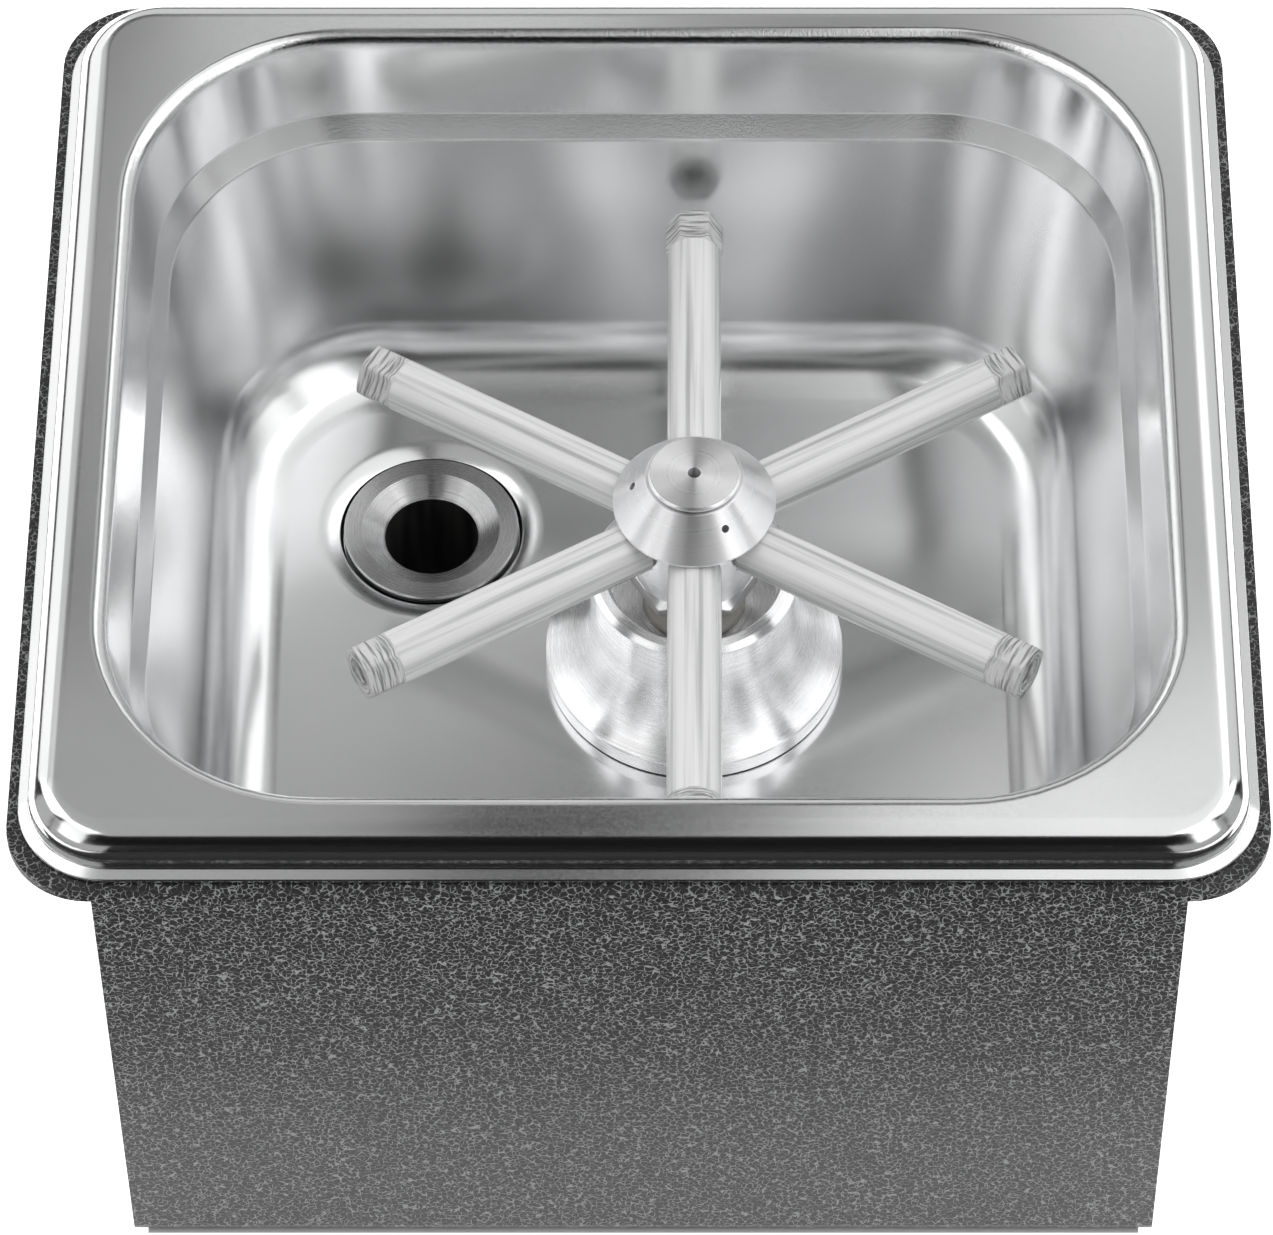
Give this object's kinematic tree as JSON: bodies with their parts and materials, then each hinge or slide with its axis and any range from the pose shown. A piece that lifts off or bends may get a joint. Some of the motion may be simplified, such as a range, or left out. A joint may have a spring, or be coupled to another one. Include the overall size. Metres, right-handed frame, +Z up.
{
  "type": "pitcher rinser",
  "caption": "Drop-in pitcher rinser: flanged housing, lift-out stainless pan with drain, and a push-down star on a sprung valve that sprays up into an inverted pitcher.",
  "frame": {"origin": "centre of the housing's underside", "axes": "+Z up, +X to the right, +Y to the back; the drain is at the back left"},
  "size_m": [0.179, 0.166, 0.1175],
  "materials": {
    "veined_coating": "black powder coat with fine silver veins",
    "pressed_stainless": "satin pressed sheet",
    "turned_stainless": "fine turned",
    "spring_steel": "drawn wire",
    "clear_plastic": "clear, slightly milky",
    "white_acetal": "natural acetal",
    "black_rubber": "matt"
  },
  "bodies": {
    "housing": {"housing_wrap": "veined_coating", "housing_side_left": "veined_coating", "housing_side_right": "veined_coating"},
    "pan_unit": {"pan": "pressed_stainless", "valve_base": "turned_stainless", "base_gasket": "black_rubber", "shank_seal_washer": "black_rubber", "shank_washer": "pressed_stainless", "shank_locknut": "turned_stainless", "guide_bush": "white_acetal", "stem_oring": "black_rubber", "inlet_washer": "black_rubber", "inlet_fitting": "turned_stainless", "return_spring": "spring_steel", "drain_body": "turned_stainless", "drain_gasket": "black_rubber", "drain_seal_washer": "black_rubber", "drain_washer": "pressed_stainless", "drain_locknut": "turned_stainless", "drain_tail": "turned_stainless"},
    "press_carrier": {"spring_cap": "pressed_stainless"},
    "spray_head": {"stem": "turned_stainless", "seat_seal": "black_rubber", "hub_body": "turned_stainless", "spray_cap": "turned_stainless", "centre_nozzle": "turned_stainless", "arm_1": "clear_plastic", "arm_2": "clear_plastic", "arm_3": "clear_plastic", "arm_4": "clear_plastic", "arm_5": "clear_plastic", "arm_6": "clear_plastic"}
  },
  "joints": [
    {"name": "pan_lift", "type": "slide", "parent": "housing", "child": "pan_unit", "axis": [0, 0, 1], "range_m": [0, 0.11]},
    {"name": "head_press", "type": "slide", "parent": "pan_unit", "child": "press_carrier", "axis": [0, 0, -1], "range_m": [0, 0.0045], "stiffness_N_per_m": 2500, "springref_m": -0.003, "deforming": ["return_spring"]},
    {"name": "head_spin", "type": "hinge", "parent": "press_carrier", "child": "spray_head", "pos_m": [0.0079, 0.0015, 0.086], "axis": [0, 0, 1], "continuous": true}
  ]
}
